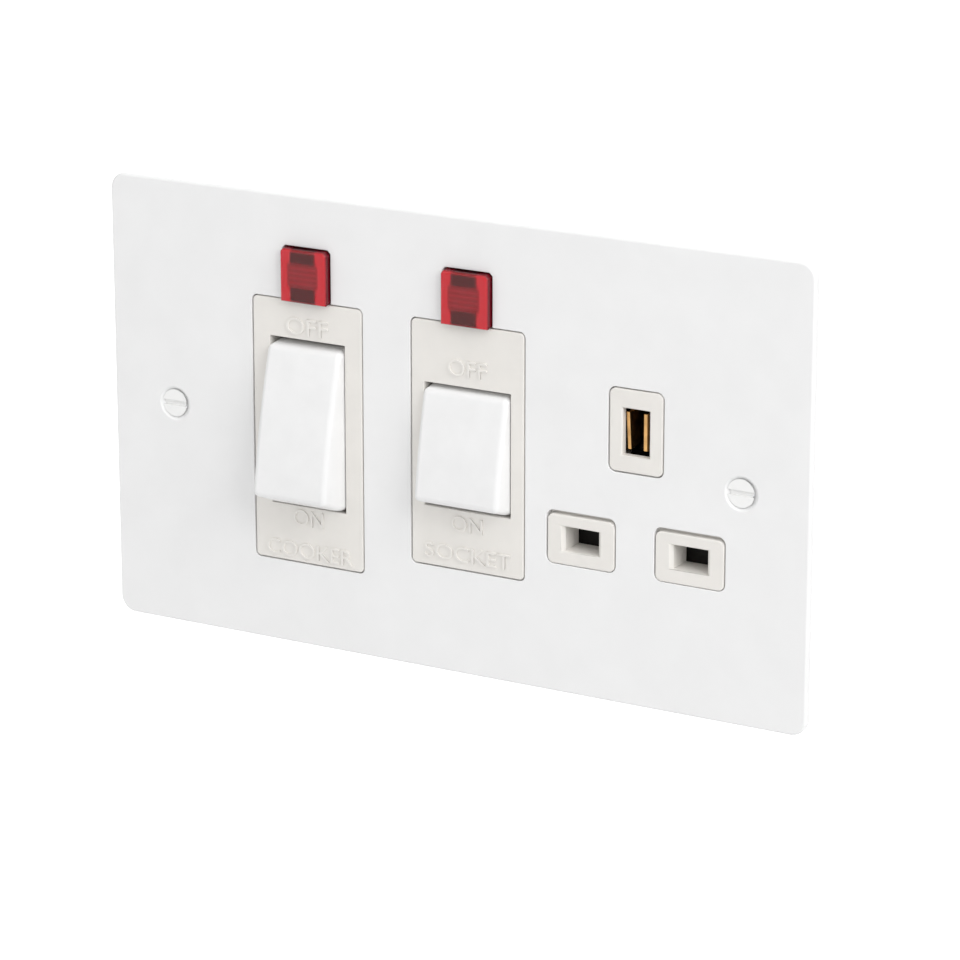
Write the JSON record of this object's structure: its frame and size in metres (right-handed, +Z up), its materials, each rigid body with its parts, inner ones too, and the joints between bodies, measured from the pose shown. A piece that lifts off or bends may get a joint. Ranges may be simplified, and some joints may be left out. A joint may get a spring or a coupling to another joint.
{
  "type": "cooker control unit",
  "caption": "White wall plate with a tall cooker switch, a small rocker switch, red neon windows and a three-pin outlet, with its contacts and terminals in a rear housing.",
  "frame": {"origin": "midway between the two fixing screws, on the plate's rear face (the wall plane)", "axes": "+X right seen from the front, +Z up, +Y into the wall; the front faces -Y"},
  "size_m": [0.148, 0.0361, 0.088],
  "materials": {
    "plate_paint": "smooth white paint",
    "screw_finish": "white paint",
    "frame_plastic": "fine satin",
    "rocker_plastic": "soft gloss",
    "lens_red": "clear red, ribbed inside",
    "lamp_glass": "clear",
    "resistor_body": "lacquer",
    "plunger_nylon": "smooth",
    "spring_steel": "drawn wire",
    "contact_metal": "bright",
    "brass": "bright",
    "zinc_steel": "zinc plated",
    "shutter_plastic": "satin",
    "housing_plastic": "fine texture"
  },
  "bodies": {
    "unit": {"face_plate": "plate_paint", "fixing_screws": "screw_finish", "cooker_switch_frame": "frame_plastic", "socket_switch_frame": "frame_plastic", "socket_front": "frame_plastic", "cooker_neon_lens": "lens_red", "socket_neon_lens": "lens_red", "cooker_lamp": "lamp_glass", "socket_lamp": "lamp_glass", "cooker_resistor": "resistor_body", "socket_resistor": "resistor_body", "shutter_spring": "spring_steel", "supply_terminal_line": "brass", "supply_terminal_neutral": "brass", "load_terminal_line": "brass", "load_terminal_neutral": "brass", "line_link": "brass", "line_contact": "brass", "neutral_link": "brass", "neutral_contact": "brass", "earth_contact": "brass", "earth_strap": "brass", "terminal_screws": "zinc_steel", "earth_screws": "zinc_steel", "plate_studs": "zinc_steel", "stud_nuts": "zinc_steel", "rear_housing": "housing_plastic"},
    "cooker_rocker": {"cooker_rocker": "rocker_plastic", "cooker_spring_line": "spring_steel", "cooker_spring_neutral": "spring_steel"},
    "cooker_plunger_line": {"cooker_plunger_line": "plunger_nylon"},
    "cooker_plunger_neutral": {"cooker_plunger_neutral": "plunger_nylon"},
    "cooker_contact_line": {"cooker_contact_line": "contact_metal"},
    "cooker_contact_neutral": {"cooker_contact_neutral": "contact_metal"},
    "socket_rocker": {"socket_rocker": "rocker_plastic", "socket_spring": "spring_steel"},
    "socket_plunger": {"socket_plunger": "plunger_nylon"},
    "socket_contact": {"socket_contact": "contact_metal"},
    "shutter": {"shutter": "shutter_plastic"}
  },
  "joints": [
    {"name": "cooker_rocker_tilt", "type": "hinge", "parent": "unit", "child": "cooker_rocker", "pos_m": [-0.0304, 0.0014, 0], "axis": [1, 0, 0], "range_deg": [0, 25]},
    {"name": "cooker_plunger_line_slide", "type": "slide", "parent": "cooker_rocker", "child": "cooker_plunger_line", "axis": [0, -0.9763, 0.2164], "range_m": [0, 0.001], "stiffness_N_per_m": 900, "springref_m": -0.0015, "deforming": ["cooker_spring_line"]},
    {"name": "cooker_plunger_neutral_slide", "type": "slide", "parent": "cooker_rocker", "child": "cooker_plunger_neutral", "axis": [0, -0.9763, 0.2164], "range_m": [0, 0.001], "stiffness_N_per_m": 900, "springref_m": -0.0015, "deforming": ["cooker_spring_neutral"]},
    {"name": "cooker_contact_line_tilt", "type": "hinge", "parent": "unit", "child": "cooker_contact_line", "pos_m": [-0.0264, 0.01466, 0], "axis": [1, 0, 0], "range_deg": [-19, 0]},
    {"name": "cooker_contact_neutral_tilt", "type": "hinge", "parent": "unit", "child": "cooker_contact_neutral", "pos_m": [-0.0344, 0.01466, 0], "axis": [1, 0, 0], "range_deg": [-19, 0]},
    {"name": "socket_rocker_tilt", "type": "hinge", "parent": "unit", "child": "socket_rocker", "pos_m": [0.0041, 0.0014, 0], "axis": [1, 0, 0], "range_deg": [0, 21]},
    {"name": "socket_plunger_slide", "type": "slide", "parent": "socket_rocker", "child": "socket_plunger", "axis": [0, -0.9833, 0.1822], "range_m": [0, 0.001], "stiffness_N_per_m": 900, "springref_m": -0.0015, "deforming": ["socket_spring"]},
    {"name": "socket_contact_tilt", "type": "hinge", "parent": "unit", "child": "socket_contact", "pos_m": [0.0041, 0.01466, 0], "axis": [1, 0, 0], "range_deg": [-19, 0]},
    {"name": "shutter_slide", "type": "slide", "parent": "unit", "child": "shutter", "axis": [0, 0, -1], "range_m": [0, 0.006], "stiffness_N_per_m": 120, "springref_m": -0.004, "deforming": ["shutter_spring"]}
  ],
  "couplings": [
    {"joint": "cooker_contact_line_tilt", "follows": "cooker_rocker_tilt", "ratio": -0.76},
    {"joint": "cooker_contact_neutral_tilt", "follows": "cooker_rocker_tilt", "ratio": -0.76},
    {"joint": "socket_contact_tilt", "follows": "socket_rocker_tilt", "ratio": -0.90476}
  ]
}
